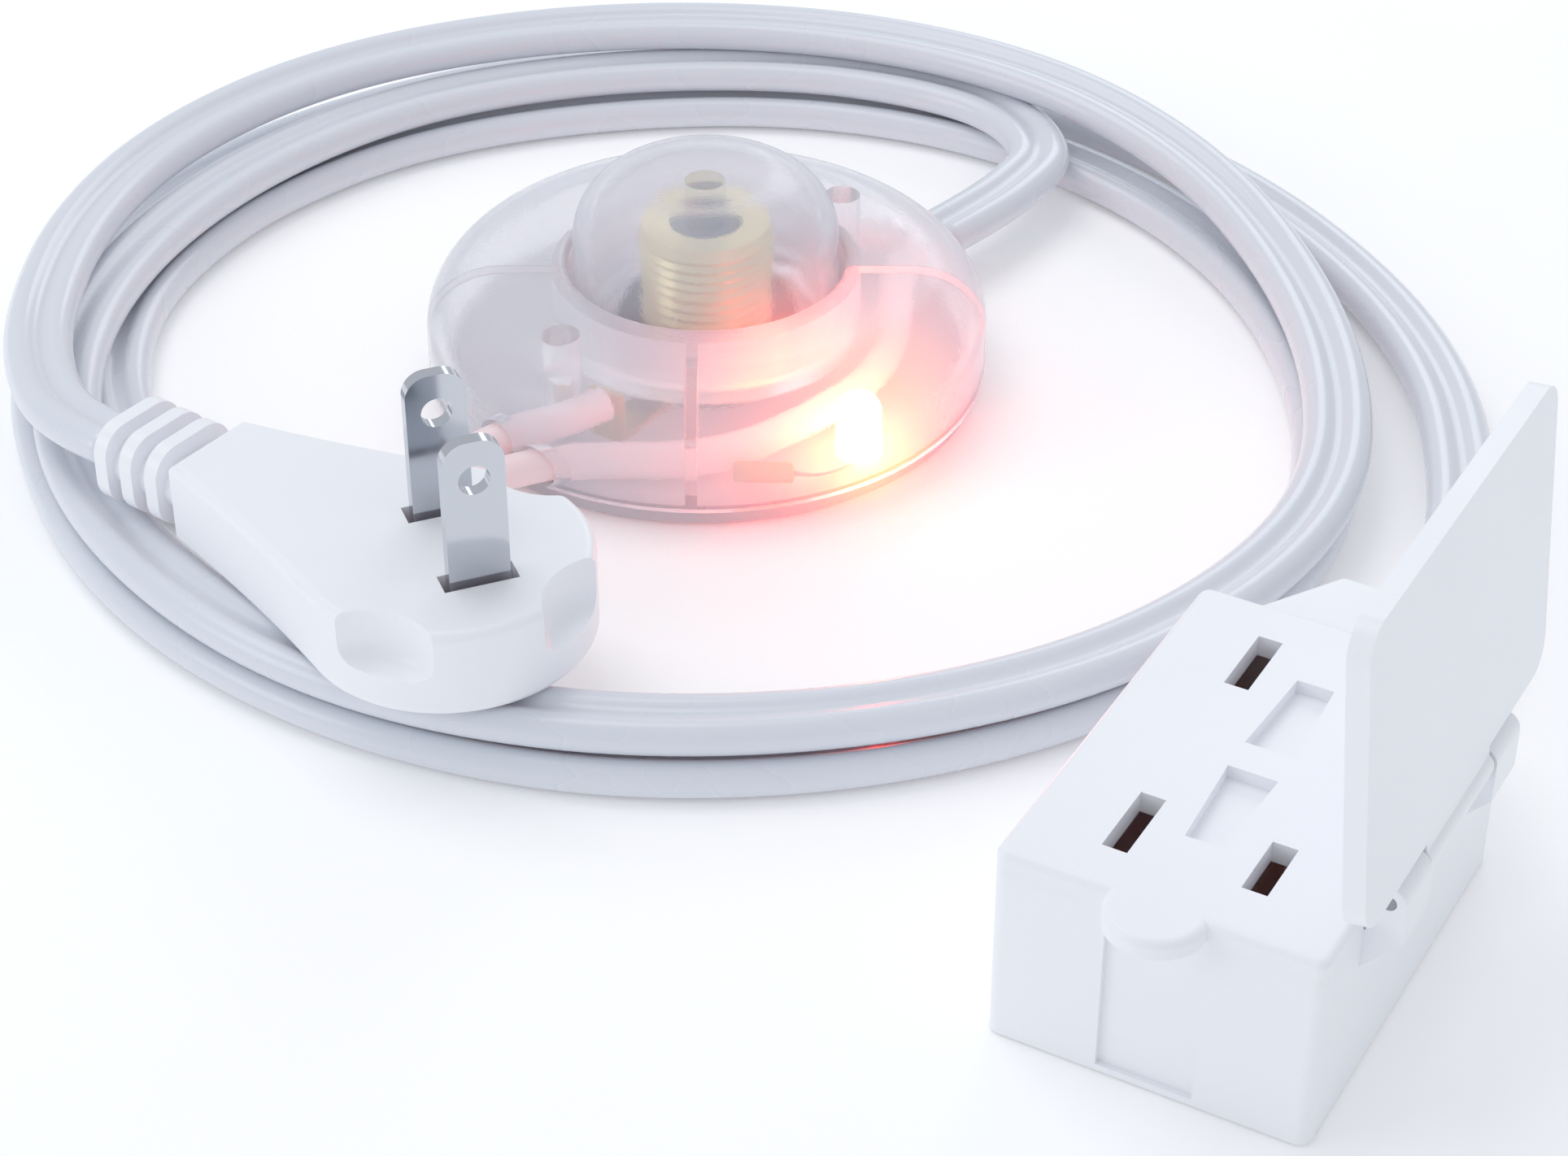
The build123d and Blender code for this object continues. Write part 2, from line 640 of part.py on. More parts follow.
with BuildPart() as outlet_housing:
    with BuildSketch(block_plane):
        with Locations(middle):
            RectangleRounded(block_width, block_length, block_corner_round)
    extrude(amount=plate_bottom)
    with BuildSketch(block_plane):
        with BuildLine():
            Polyline(
                (middle[0] - exit_root_width / 2, block_length - block_wall),
                (middle[0] - exit_root_width / 2, block_length), (middle[0] - exit_end_width / 2, exit_end),
                (middle[0] + exit_end_width / 2, exit_end), (middle[0] + exit_root_width / 2, block_length),
                (middle[0] + exit_root_width / 2, block_length - block_wall), close=True,
            )
        make_face()
    extrude(amount=exit_height)
    fillet(outlet_housing.faces().filter_by(Plane.XY).group_by(Axis.Z)[-2].edges().filter_by(
        lambda edge: edge.center().Z > exit_height - 0.1
        and block_plane.to_local_coords(edge.center()).Y > block_length + 0.1), block_edge_round)
    with BuildSketch(block_plane.offset(exit_height)):
        with Locations((middle[0], block_length + exit_pad_reach)):
            Circle(tongue_radius)
        with Locations((middle[0], block_length + exit_pad_reach / 2)):
            Rectangle(2 * tongue_radius, exit_pad_reach)
        with Locations((middle[0], block_length - 2 * block_wall)):
            Rectangle(3 * tongue_radius, 4 * block_wall, mode=Mode.SUBTRACT)
    extrude(amount=exit_pad_height)
    for start in ear_starts:
        with BuildSketch(block_section(start)):
            with BuildLine():
                Polyline(
                    (block_width - seat, hinge_height - ear_drop),
                    (hinge_across + ear_radius, hinge_height - ear_drop / 2),
                    (hinge_across + ear_radius, hinge_height), (block_width + seat, hinge_height),
                    (block_width + seat, plate_bottom - seat), (block_width - seat, plate_bottom - seat),
                    close=True,
                )
            make_face()
            with Locations((hinge_across, hinge_height)):
                Circle(ear_radius)
        extrude(amount=-ear_length)
    with BuildSketch(block_plane.offset(block_floor)):
        with Locations(middle):
            Rectangle(block_width - 2 * block_wall, block_length - 2 * block_wall)
            Circle(block_boss_radius, mode=Mode.SUBTRACT)
    extrude(amount=plate_bottom, mode=Mode.SUBTRACT)
    with BuildSketch(block_plane.offset(2 * block_floor)):
        with Locations(middle):
            Circle(block_boss_radius + gap)
    extrude(amount=plate_bottom, mode=Mode.SUBTRACT)
    with BuildSketch(block_plane):
        with Locations(middle):
            Circle(block_screw_head + seat)
    extrude(amount=block_floor, mode=Mode.SUBTRACT)
    with BuildSketch(block_plane):
        with Locations(middle):
            Circle(block_screw_radius + seat)
    extrude(amount=3 * block_floor, mode=Mode.SUBTRACT)
    with BuildSketch(block_section(0)):
        with Locations((middle[0], panel_top / 2)):
            Rectangle(panel_width, panel_top - panel_margin)
    extrude(amount=-panel_depth, mode=Mode.SUBTRACT)
    for start in ear_starts:
        with BuildSketch(block_section(start - gap)):
            with Locations((hinge_across, hinge_height)):
                Circle(hinge_pin_radius + pin_fit)
        extrude(amount=-ear_length - 2 * gap, mode=Mode.SUBTRACT)
outlet_housing.part.label = "outlet_housing"
export_step(outlet_housing.part, "parts/outlet_housing.step")

slot_places = {"neutral": middle[0] - blade_pitch / 2, "hot": middle[0] + blade_pitch / 2}
outlet_places = [middle[1] + side * outlet_pitch / 2 for side in (-1, 1)]
lip_width = block_width - 2 * block_wall - 2 * seat
lip_length = block_length - 2 * block_wall - 2 * seat

with BuildPart() as outlet_top:
    with BuildSketch(block_plane.offset(plate_bottom)):
        with Locations(middle):
            RectangleRounded(block_width, block_length, block_corner_round)
    extrude(amount=plate_thickness)
    with BuildSketch(block_plane.offset(block_height - tongue_thickness)):
        with Locations((middle[0], 0)):
            Circle(tongue_radius)
    extrude(amount=tongue_thickness)
    fillet(outlet_top.faces().sort_by(Axis.Z)[-1].edges(), block_edge_round)
    with BuildSketch(block_plane.offset(plate_bottom - lip_depth)):
        with Locations(middle):
            Rectangle(lip_width, lip_length)
            Rectangle(lip_width - 2 * lip_wall, lip_length - 2 * lip_wall, mode=Mode.SUBTRACT)
    extrude(amount=lip_depth)
    with BuildSketch(block_plane.offset(2 * block_floor)):
        with Locations(middle):
            Circle(block_boss_radius)
    extrude(amount=plate_bottom - 2 * block_floor)
    with BuildSketch(block_plane.offset(2 * block_floor)):
        with Locations(middle):
            Circle(block_screw_radius + pin_fit)
    extrude(amount=block_screw_length, mode=Mode.SUBTRACT)
    for pole, place in slot_places.items():
        with BuildSketch(block_plane.offset(plate_bottom)):
            with Locations(*[(place, outlet) for outlet in outlet_places]):
                Rectangle(slot_width, slot_lengths[pole])
        extrude(amount=plate_thickness, mode=Mode.SUBTRACT)
    with BuildSketch(block_plane.offset(block_height - recess_depth)):
        for side in (-1, 1):
            near = middle[1] + side * (recess_offset - recess_length / 2)
            far = middle[1] + side * (recess_offset + recess_length / 2)
            with BuildLine():
                Polyline(
                    (middle[0] - recess_wide / 2, near), (middle[0] + recess_wide / 2, near),
                    (middle[0] + recess_narrow / 2, far), (middle[0] - recess_narrow / 2, far), close=True,
                )
            make_face()
    extrude(amount=recess_depth, mode=Mode.SUBTRACT)
outlet_top.part.label = "outlet_top"
export_step(outlet_top.part, "parts/outlet_top.step")

for pole, place in slot_places.items():
    with BuildPart() as bus:
        with BuildSketch(block_plane.offset(block_floor)):
            with Locations((place, middle[1])):
                Rectangle(bus_width, bus_length)
        extrude(amount=bus_thickness)
        with BuildSketch(block_plane.offset(block_floor + bus_thickness)):
            for outlet in outlet_places:
                for side in (-1, 1):
                    with Locations((place + side * (clip_gap + clip_thickness) / 2, outlet)):
                        Rectangle(clip_thickness, clip_length)
        extrude(amount=clip_height)
    bus.part.label = f"{pole}_bus"
    export_step(bus.part, f"parts/{pole}_bus.step")

with BuildPart() as outlet_screw:
    with BuildSketch(block_plane.offset(screw_recess)):
        with Locations(middle):
            Circle(block_screw_head)
    extrude(amount=block_floor - screw_recess)
    with BuildSketch(block_plane.offset(block_floor)):
        with Locations(middle):
            Circle(block_screw_radius)
    extrude(amount=block_screw_length)
    with BuildSketch(block_plane.offset(screw_recess)):
        with Locations(middle):
            Rectangle(3.4, 0.7)
            Rectangle(0.7, 3.4)
    extrude(amount=block_floor / 2, mode=Mode.SUBTRACT)
outlet_screw.part.label = "outlet_screw"
export_step(outlet_screw.part, "parts/outlet_screw.step")

# ---- lid --------------------------------------------------------------------------
# Drawn as it stands: its plane turns about the hinge axis along the block's right side.
lid_up = Vector(0, 0, 1) * sin(radians(lid_open)) - across * cos(radians(lid_open))
lid_plane = Plane(block_point(hinge_across, 0, hinge_height), x_dir=along, z_dir=along.cross(lid_up))
barrel_start = ear_starts[0] + ear_length + gap
barrel_length = ear_starts[1] - gap - barrel_start

with BuildPart() as outlet_lid:
    with BuildSketch(lid_plane):
        with Locations((middle[1], (lid_root + lid_reach) / 2)):
            RectangleRounded(lid_width, lid_reach - lid_root, lid_corner_round)
        with Locations((middle[1], lid_root)):
            Rectangle(barrel_length, 2 * lid_root)
    extrude(amount=lid_thickness / 2, both=True)
    with BuildSketch(block_section(barrel_start)):
        with Locations((hinge_across, hinge_height)):
            Circle(barrel_radius)
    extrude(amount=-barrel_length)
    with BuildSketch(block_section(barrel_start - gap)):
        with Locations((hinge_across, hinge_height)):
            Circle(hinge_pin_radius + pin_fit)
    extrude(amount=-barrel_length - 2 * gap, mode=Mode.SUBTRACT)
outlet_lid.part.label = "outlet_lid"
export_step(outlet_lid.part, "parts/outlet_lid.step")

with BuildPart() as hinge_pin:
    with BuildSketch(block_section(ear_starts[0])):
        with Locations((hinge_across, hinge_height)):
            Circle(hinge_pin_radius)
    extrude(amount=-(ear_pitch + ear_length))
hinge_pin.part.label = "hinge_pin"
export_step(hinge_pin.part, "parts/hinge_pin.step")

# ---- plug -------------------------------------------------------------------------
blade_places = {"plug_blade_a": -blade_pitch / 2, "plug_blade_b": blade_pitch / 2}
carrier_top = -carrier_cover
scallop_centre = head_radius + scallop_radius - scallop_bite
flank_end = polar(head_radius, flank_angle)

with BuildPart() as scallops:
    for angle in scallop_angles:
        place = polar(scallop_centre, angle)
        with BuildSketch(plug_plane.offset(plug_height - scallop_drop)):
            with Locations((place.X, place.Y)):
                Circle(scallop_radius)
        extrude(amount=scallop_drop + gap)
    fillet(scallops.edges().group_by(Axis.Z)[0], scallop_round)

with BuildPart() as plug_body:
    with BuildSketch(plug_plane):
        with BuildLine():
            Line((-plug_neck_length, -plug_neck_half), (-plug_neck_length, plug_neck_half))
            TangentArc(
                (flank_end.X, flank_end.Y), (-plug_neck_length, plug_neck_half),
                tangent=(-flank_end.Y, flank_end.X),
            )
            CenterArc((0, 0), head_radius, flank_angle, -2 * flank_angle)
            TangentArc(
                (flank_end.X, -flank_end.Y), (-plug_neck_length, -plug_neck_half),
                tangent=(-flank_end.Y, -flank_end.X),
            )
        make_face()
    extrude(amount=plug_height)
    fillet(plug_body.faces().filter_by(Plane.XY).edges(), plug_round)
    add(scallops.part, mode=Mode.SUBTRACT)
    with BuildSketch(blade_plane.offset(carrier_top - carrier_height)):
        Rectangle(carrier_length + 2 * seat, carrier_width + 2 * seat)
    extrude(amount=carrier_height, mode=Mode.SUBTRACT)
    with BuildSketch(blade_plane.offset(carrier_top)):
        with Locations(*[(place, 0) for place in blade_places.values()]):
            Rectangle(blade_thickness + 2 * blade_window, blade_width + 2 * blade_window)
    extrude(amount=carrier_cover, mode=Mode.SUBTRACT)
plug_body.part.label = "plug_body"
export_step(plug_body.part, "parts/plug_body.step")

with BuildPart() as plug_blade_carrier:
    with BuildSketch(blade_plane.offset(carrier_top - carrier_height)):
        Rectangle(carrier_length, carrier_width)
    extrude(amount=carrier_height)
    with BuildSketch(blade_plane.offset(-blade_root)):
        with Locations(*[(place, 0) for place in blade_places.values()]):
            Rectangle(blade_thickness, blade_width)
    extrude(amount=blade_root, mode=Mode.SUBTRACT)
plug_blade_carrier.part.label = "plug_blade_carrier"
export_step(plug_blade_carrier.part, "parts/plug_blade_carrier.step")

for name, place in blade_places.items():
    with BuildPart() as blade:
        with BuildSketch(blade_plane.offset(-blade_root)):
            with Locations((place, 0)):
                Rectangle(blade_thickness, blade_width)
        extrude(amount=blade_root + blade_reach)
        fillet(blade.edges().filter_by(lambda edge: abs((edge % 0).dot(blade_plane.x_dir)) > 0.9)
               .group_by(Axis.Z)[-1], blade_tip)
        with BuildSketch(Plane(blade_plane.origin, x_dir=blade_plane.y_dir, z_dir=blade_plane.x_dir)):
            with Locations((0, blade_hole_height)):
                Circle(blade_hole_radius)
        extrude(amount=blade_pitch, both=True, mode=Mode.SUBTRACT)
    blade.part.label = name
    export_step(blade.part, f"parts/{name}.step")

relief_plane = Plane(
    plug_plane.from_local_coords(Vector(-plug_neck_length, 0, plug_height / 2)),
    x_dir=plug_plane.y_dir, z_dir=-plug_plane.x_dir,
)
with BuildPart() as plug_strain_relief:
    with BuildSketch(relief_plane):
        SlotOverall(relief_core_width, relief_core_height)
    extrude(amount=relief_length)
    for index in range(rib_count):
        with BuildSketch(relief_plane.offset(rib_first + index * rib_step - rib_thickness / 2)):
            RectangleRounded(rib_width, rib_height, rib_round)
        extrude(amount=rib_thickness)
plug_strain_relief.part.label = "plug_strain_relief"
export_step(plug_strain_relief.part, "parts/plug_strain_relief.step")
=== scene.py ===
"""Extension cord with a flat plug, a clear lighted foot switch and an outlet block.

Lengths are metres. The frame's origin is the middle of the switch's underside.
"""

from math import radians

import bpy
import numpy as np
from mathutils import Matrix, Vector


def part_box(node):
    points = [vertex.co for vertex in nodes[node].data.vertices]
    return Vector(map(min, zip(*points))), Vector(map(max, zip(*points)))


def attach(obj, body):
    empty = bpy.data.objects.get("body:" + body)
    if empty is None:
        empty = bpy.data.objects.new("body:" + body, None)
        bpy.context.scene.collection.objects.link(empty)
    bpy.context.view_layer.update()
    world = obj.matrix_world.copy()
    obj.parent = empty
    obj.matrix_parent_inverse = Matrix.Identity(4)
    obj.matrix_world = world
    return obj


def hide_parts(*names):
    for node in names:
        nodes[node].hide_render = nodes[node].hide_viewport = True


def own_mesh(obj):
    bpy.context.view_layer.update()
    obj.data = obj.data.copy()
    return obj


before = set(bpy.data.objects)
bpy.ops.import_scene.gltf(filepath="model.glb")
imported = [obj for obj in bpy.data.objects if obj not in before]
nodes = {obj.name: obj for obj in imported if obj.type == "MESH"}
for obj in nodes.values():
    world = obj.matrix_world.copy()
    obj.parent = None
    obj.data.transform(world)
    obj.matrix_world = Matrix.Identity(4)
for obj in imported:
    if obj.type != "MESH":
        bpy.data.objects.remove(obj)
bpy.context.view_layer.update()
MM = 0.001

# ---- view -------------------------------------------------------------------------
# A long lens from the front and above, level across, on the line of the foot switch.
scene = bpy.context.scene
camera = bpy.data.objects.new("camera", bpy.data.cameras.new("camera"))
scene.collection.objects.link(camera)
camera.location = (0.00878, -0.33577, 0.21043)
camera.rotation_euler = (radians(54.53), 0.0, 0.0)
camera.data.lens = 78.67
camera.data.sensor_width = 36.0
camera.data.clip_start = 0.01
scene.camera = camera


# ---- flat twin cord ---------------------------------------------------------------
# Two stranded cores side by side in one extruded vinyl sheath, with a groove between them.
# One half runs from the plug to the switch and the other from the switch to the outlet
# block, in a loose coil. Extruded vinyl is even, smooth and softly glossy.
# The centre line of each half, in metres: 1.9 mm up on the floor, 5.9 mm on one turn
# and 10 mm on two.
plug_route = [
    (-0.0605, -0.0345, 0.01295), (-0.0666, -0.0301, 0.0126), (-0.072, -0.0205, 0.0115),
    (-0.0754, -0.0045, 0.0105), (-0.0745, 0.018, 0.01), (-0.0665, 0.039, 0.01), (-0.05, 0.057, 0.01),
    (-0.027, 0.0675, 0.01), (-0.002, 0.0705, 0.01), (0.023, 0.066, 0.01), (0.0445, 0.053, 0.01),
    (0.06, 0.0345, 0.0086), (0.0685, 0.012, 0.0066), (0.071, -0.011, 0.0059),
    (0.0675, -0.033, 0.0059), (0.056, -0.051, 0.0059), (0.038, -0.065, 0.0059),
    (0.014, -0.073, 0.0059), (-0.012, -0.0735, 0.0059), (-0.0365, -0.0655, 0.0059),
    (-0.056, -0.0485, 0.0059), (-0.069, -0.0265, 0.0059), (-0.0725, -0.003, 0.0059),
    (-0.068, 0.02, 0.0059), (-0.056, 0.041, 0.0059), (-0.038, 0.057, 0.0059),
    (-0.014, 0.065, 0.0059), (0.01, 0.0655, 0.0059), (0.027, 0.0605, 0.0059),
    (0.0375, 0.053, 0.0059), (0.0415, 0.042, 0.0059), (0.0372, 0.034, 0.0058),
    (0.032, 0.0275, 0.0057), (0.0266, 0.022, 0.0056),
]
outlet_route = [
    (-0.02705, -0.0273, 0.0046), (-0.034, -0.0308, 0.0045), (-0.0425, -0.0334, 0.0032),
    (-0.052, -0.0309, 0.0019), (-0.061, -0.0225, 0.0019), (-0.067, -0.009, 0.0019),
    (-0.0685, 0.008, 0.0019), (-0.065, 0.023, 0.0019), (-0.056, 0.039, 0.0019),
    (-0.0385, 0.0545, 0.0019), (-0.014, 0.0625, 0.0019), (0.011, 0.0635, 0.0019),
    (0.034, 0.056, 0.0019), (0.053, 0.04, 0.0019), (0.065, 0.019, 0.0019), (0.07, -0.006, 0.0019),
    (0.0675, -0.031, 0.0019), (0.0565, -0.051, 0.0019), (0.038, -0.066, 0.0019),
    (0.014, -0.0745, 0.0019), (-0.012, -0.075, 0.0019), (-0.0365, -0.066, 0.0019),
    (-0.0565, -0.0495, 0.0019), (-0.0695, -0.028, 0.0019), (-0.077, -0.002, 0.0019),
    (-0.075, 0.026, 0.0019), (-0.059, 0.051, 0.0019), (-0.035, 0.068, 0.0019),
    (-0.008, 0.075, 0.0019), (0.02, 0.073, 0.0019), (0.046, 0.061, 0.0019), (0.066, 0.041, 0.0019),
    (0.0785, 0.0165, 0.0024), (0.0835, -0.007, 0.0034), (0.082, -0.03, 0.005),
    (0.0784, -0.0465, 0.0066), (0.07312, -0.0586, 0.0075), (0.06872, -0.06642, 0.0075),
]
cord_width = 7.6 * MM
lobe = cord_width / 4
# Where the plug's half rides on the other turns, its outer lobe is raised by this much.
lean = radians(9.0)
lean_starts = 0.0062
lean_span = 0.0036


def srgb(code):
    """Linear RGBA of an sRGB hex colour: c/12.92 below 0.04045, else ((c + 0.055)/1.055)^2.4."""
    channels = [int(code[i:i + 2], 16) / 255 for i in (1, 3, 5)]
    return [c / 12.92 if c <= 0.04045 else ((c + 0.055) / 1.055) ** 2.4 for c in channels] + [1.0]


def add_node(tree, kind, settings=None, links=None):
    """Adds a shader node, sets its properties and input values, and links its inputs."""
    made = tree.nodes.new(kind)
    for name, value in (settings or {}).items():
        if isinstance(name, int) or name in made.inputs:
            made.inputs[name].default_value = value
        else:
            setattr(made, name, value)
    for name, source in (links or {}).items():
        tree.links.new(source, made.inputs[name])
    return made


def new_material(name):
    """An empty node material, its tree and its output node."""
    made = bpy.data.materials.new(name)
    made.use_nodes = True
    made.node_tree.nodes.clear()
    return made, made.node_tree, add_node(made.node_tree, "ShaderNodeOutputMaterial")


def plastic(name, color, roughness, grain, grain_scale, coat=0.0, subsurface=0.0, glow=0.0):
    """Moulded plastic: Principled surface, faint mottling and a fine bump in object space.

    grain_scale is grains a metre: 1500 makes them 0.7 mm across, coarser than a mould's own
    so that they show. The mottling of the gloss has 60 patches a metre, 17 mm across.
    """
    made, tree, output = new_material(name)
    place = add_node(tree, "ShaderNodeTexCoord").outputs["Object"]
    fine = add_node(tree, "ShaderNodeTexNoise", {"Scale": grain_scale, "Detail": 3.0}, {"Vector": place})
    broad = add_node(tree, "ShaderNodeTexNoise", {"Scale": 60.0, "Detail": 2.0}, {"Vector": place})
    spread = add_node(
        tree, "ShaderNodeMapRange",
        {"From Min": 0.3, "From Max": 0.7, "To Min": roughness * 0.85, "To Max": roughness * 1.15},
        {"Value": broad.outputs["Fac"]},
    )
    bump = add_node(
        tree, "ShaderNodeBump", {"Strength": grain, "Distance": 0.0002}, {"Height": fine.outputs["Fac"]}
    )
    surface = add_node(
        tree, "ShaderNodeBsdfPrincipled",
        {"Base Color": srgb(color), "Coat Weight": coat, "Coat Roughness": 0.15,
         "Subsurface Weight": subsurface, "Subsurface Radius": (0.002, 0.002, 0.003),
         "Subsurface Scale": 0.5, "Emission Color": srgb(color), "Emission Strength": glow},
        {"Roughness": spread.outputs["Result"], "Normal": bump.outputs["Normal"]},
    )
    tree.links.new(surface.outputs["BSDF"], output.inputs["Surface"])
    return made


def smooth_mesh(name, points, faces):
    """A smooth-shaded mesh object from arrays of points and faces."""
    mesh = bpy.data.meshes.new(name)
    mesh.from_pydata([tuple(p) for p in points], [], [tuple(int(i) for i in f) for f in faces])
    mesh.shade_smooth()
    made = bpy.data.objects.new(name, mesh)
    bpy.context.scene.collection.objects.link(made)
    return made


def spline_points(name, control):
    """Points along one open quadratic NURBS through the route's end points."""
    curve = bpy.data.curves.new(name, "CURVE")
    curve.dimensions = "3D"
    curve.resolution_u = 10
    spline = curve.splines.new("NURBS")
    spline.points.add(len(control) - 1)
    for point, place in zip(spline.points, control):
        point.co = (*place, 1.0)
    spline.order_u = 3
    spline.use_endpoint_u = True
    holder = bpy.data.objects.new(name, curve)
    mesh = bpy.data.meshes.new_from_object(holder)
    path = np.array([vertex.co[:] for vertex in mesh.vertices])
    bpy.data.objects.remove(holder)
    bpy.data.meshes.remove(mesh)
    return path


def twin_section(lobe):
    """Outline of two round lobes side by side, (x across, y up), with a V groove between.

    Each lobe is (±lobe + lobe cos t, lobe sin t) for t out to 125 degrees from its outer
    side, and the groove's bottom is at 0.6 lobe.
    """
    t = np.radians(np.linspace(-125, 125, 21))
    right = np.stack([lobe + lobe * np.cos(t), lobe * np.sin(t)], 1)
    return np.concatenate([right, [[0.0, 0.6 * lobe]], -right, [[0.0, -0.6 * lobe]]])


def ringed_mesh(name, rings):
    """A closed tube from an array of rings: quads between rings i, i + 1 and a face on each end."""
    count, around = rings.shape[:2]
    i, j = np.meshgrid(np.arange(count - 1), np.arange(around), indexing="ij")
    k = (j + 1) % around
    quads = np.stack([i * around + j, i * around + k, (i + 1) * around + k, (i + 1) * around + j], -1)
    ends = [list(range(around))[::-1], list(range((count - 1) * around, count * around))]
    return smooth_mesh(name, rings.reshape(-1, 3), [*quads.reshape(-1, 4), *ends])


def twin_cord(name, path, section, roll):
    """Sweeps the flat section along a path, kept level across it and then rolled.

    At path point p with direction d: side = (z x d) / |z x d|, up = d x side, and a section
    point (x, y) goes to p + x (side cos r + up sin r) + y (up cos r - side sin r).
    """
    ahead = np.gradient(path, axis=0)
    ahead /= np.linalg.norm(ahead, axis=1)[:, None]
    side = np.cross([0.0, 0.0, 1.0], ahead)
    side /= np.linalg.norm(side, axis=1)[:, None]
    up = np.cross(ahead, side)
    c, s = np.cos(roll)[:, None], np.sin(roll)[:, None]
    wide, high = side * c + up * s, up * c - side * s
    rings = path[:, None] + section[None, :, :1] * wide[:, None] + section[None, :, 1:] * high[:, None]
    return ringed_mesh(name, rings)


cord_vinyl = plastic("cord vinyl", "#DEE2E9", 0.28, 0.1, 1500.0, coat=0.3)
section = twin_section(lobe)
for name, route, far_end, helpers in (
    ("cord_plug_to_switch", plug_route, "plug",
     ["plug_body", "plug_strain_relief", "plug_blade_carrier", "plug_blade_a", "plug_blade_b"]),
    ("cord_switch_to_outlet", outlet_route, "object", []),
):
    path = spline_points(name + "_line", route)
    raised = np.clip((path[:, 2] - lean_starts) / lean_span, 0.0, 1.0)
    roll = lean * raised * (name == "cord_plug_to_switch")
    tube = twin_cord(name + "_vinyl", path, section, roll)
    tube.data.materials.append(cord_vinyl)
    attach(tube, "cord_set")
    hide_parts(name)


# ---- plug -------------------------------------------------------------------------
# Body and ribbed strain relief are white ABS moulded round the cord's end. Moulded ABS has
# a faint satin mottling. The blades are stamped brass, plated with nickel and pressed into
# a black phenolic carrier, whose moulded face is dull.
def paint(node_name, material):
    """Gives a CAD node's object one material."""
    for index in range(len(nodes[node_name].material_slots)):
        nodes[node_name].material_slots[index].material = material


white_abs = plastic("white ABS", "#F5F7FB", 0.34, 0.06, 1800.0, subsurface=0.05)
for name in ("plug_body", "plug_strain_relief"):
    paint(name, white_abs)

black_phenolic = plastic("black phenolic", "#1A1B1E", 0.5, 0.2, 1200.0)
paint("plug_blade_carrier", black_phenolic)


def metal(name, color, roughness):
    """Metal: Principled surface whose roughness varies a little along fine streaks."""
    made, tree, output = new_material(name)
    place = add_node(tree, "ShaderNodeTexCoord").outputs["Object"]
    squeezed = add_node(tree, "ShaderNodeMapping", {"Scale": (900.0, 900.0, 60.0)}, {"Vector": place})
    streaks = add_node(
        tree, "ShaderNodeTexNoise", {"Scale": 1.0, "Detail": 4.0}, {"Vector": squeezed.outputs["Vector"]}
    )
    spread = add_node(
        tree, "ShaderNodeMapRange", {"To Min": roughness * 0.7, "To Max": roughness * 1.4},
        {"Value": streaks.outputs["Fac"]},
    )
    surface = add_node(
        tree, "ShaderNodeBsdfPrincipled", {"Base Color": srgb(color), "Metallic": 1.0},
        {"Roughness": spread.outputs["Result"]},
    )
    tree.links.new(surface.outputs["BSDF"], output.inputs["Surface"])
    return made


nickel = metal("nickel plate", "#C9CDD3", 0.12)
for name in ("plug_blade_a", "plug_blade_b"):
    paint(name, nickel)

# ---- outlet block -----------------------------------------------------------------
# Housing, top plate and flip-up lid are moulded in the plug's white ABS. Two brass buses lie
# under the slots, a zinc-plated screw holds the top plate down and a steel pin carries the lid.
for name in ("outlet_housing", "outlet_top", "outlet_lid"):
    paint(name, white_abs)

brass = metal("brass", "#D8B872", 0.3)
for name in ("neutral_bus", "hot_bus"):
    paint(name, brass)

steel = metal("zinc-plated steel", "#9EA3AA", 0.3)
for name in ("outlet_screw", "hinge_pin"):
    paint(name, steel)

# ---- lamp -------------------------------------------------------------------------
# A neon lamp with its wire lead and a glazed ceramic resistor in series, soldered in the
# front half of the switch. The glass glows, and its light in the clear pieces round it is painted in as
# glow.
def lit(name, color, strength):
    """A surface that gives light of one colour."""
    made, tree, output = new_material(name)
    light = add_node(tree, "ShaderNodeEmission", {"Color": srgb(color), "Strength": strength})
    tree.links.new(light.outputs["Emission"], output.inputs["Surface"])
    return made


lamp_low, lamp_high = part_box("neon_lamp")
lamp = tuple((low + high) / 2 for low, high in zip(lamp_low, lamp_high))
paint("neon_lamp", lit("lit lamp glass", "#FFF3B0", 5.0))
paint("lamp_lead", steel)
paint("lamp_resistor", plastic("glazed ceramic", "#CDB98C", 0.5, 0.1, 900.0))

# ---- switch base and cores --------------------------------------------------------
# The base is a thin round plate of clear styrene, frosted by its mould. The cord's cores
# cross it to the contacts: white vinyl with a faint pink tint. Both carry a painted glow of the lamp's
# light, red and then yellow towards the lamp.
# Colours of the lamp's light: painted as glow in the clear parts, and red is also the spill light's
# colour.
red = "#FF1E14"
yellow = "#FFDC28"
painted_glow_white = "#FFFBE0"


def nearness(tree, place, centre, reach):
    """1 at a point, falling to 0 at a distance: 1 - |p - centre| / reach, squared."""
    apart = add_node(
        tree, "ShaderNodeVectorMath", {"operation": "DISTANCE", 1: centre}, {0: place}
    ).outputs["Value"]
    falling = add_node(
        tree, "ShaderNodeMapRange", {"From Min": 0.0, "From Max": reach, "To Min": 1.0, "To Max": 0.0},
        {"Value": apart},
    ).outputs["Result"]
    return add_node(tree, "ShaderNodeMath", {"operation": "POWER", 1: 2.0}, {0: falling}).outputs["Value"]


